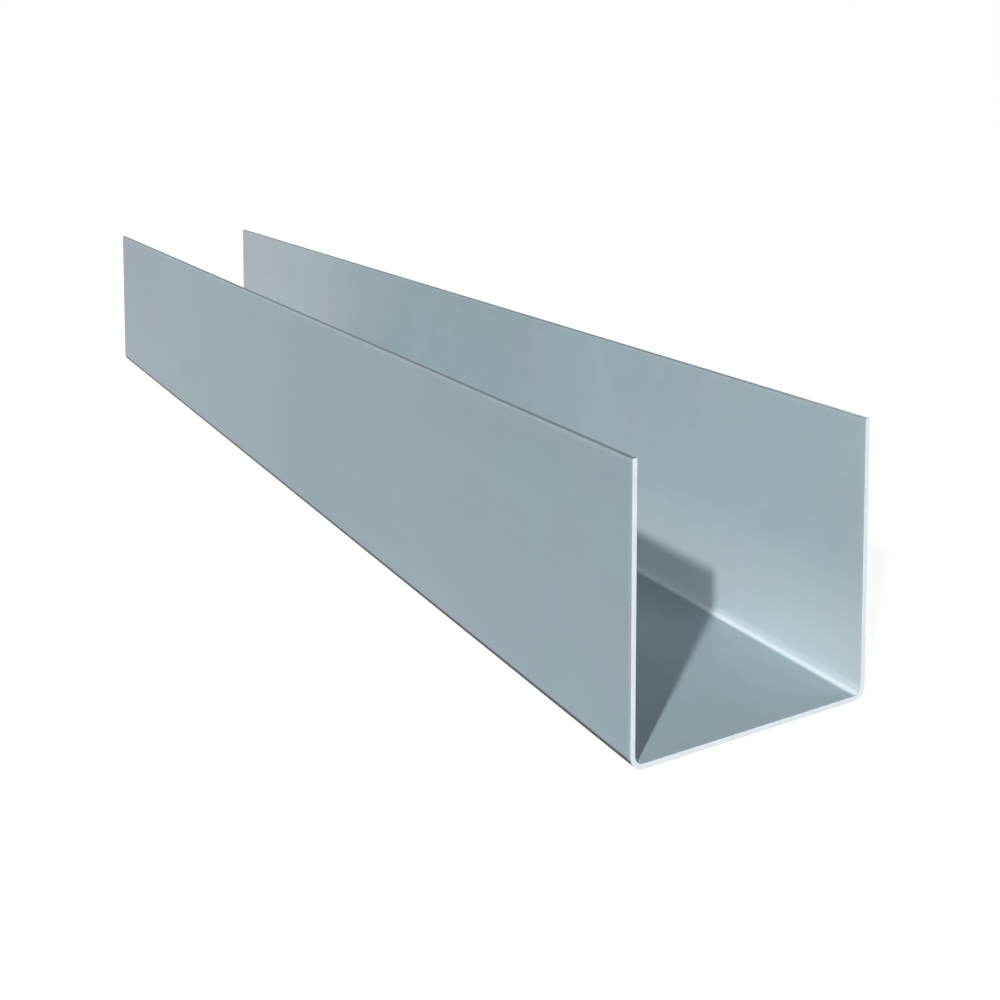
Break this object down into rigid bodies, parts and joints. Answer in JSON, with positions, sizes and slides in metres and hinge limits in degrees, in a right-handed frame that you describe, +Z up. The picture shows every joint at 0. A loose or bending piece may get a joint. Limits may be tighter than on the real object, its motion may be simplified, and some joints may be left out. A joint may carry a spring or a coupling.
{
  "type": "drywall track",
  "caption": "Straight U-shaped galvanised sheet-steel channel with a flat web and two equal plain legs, fixed to a floor or ceiling to hold the ends of wall studs.",
  "frame": {"origin": "middle of the web's underside, where the track lies on the floor", "axes": "+X across the web, +Y along the length, +Z up from the web towards the leg tips"},
  "size_m": [0.05, 0.35, 0.05],
  "materials": {
    "galvanised_steel": "satin zinc-coated sheet, slightly bluish grey"
  },
  "bodies": {
    "root": {"track_channel": "galvanised_steel"}
  },
  "joints": []
}
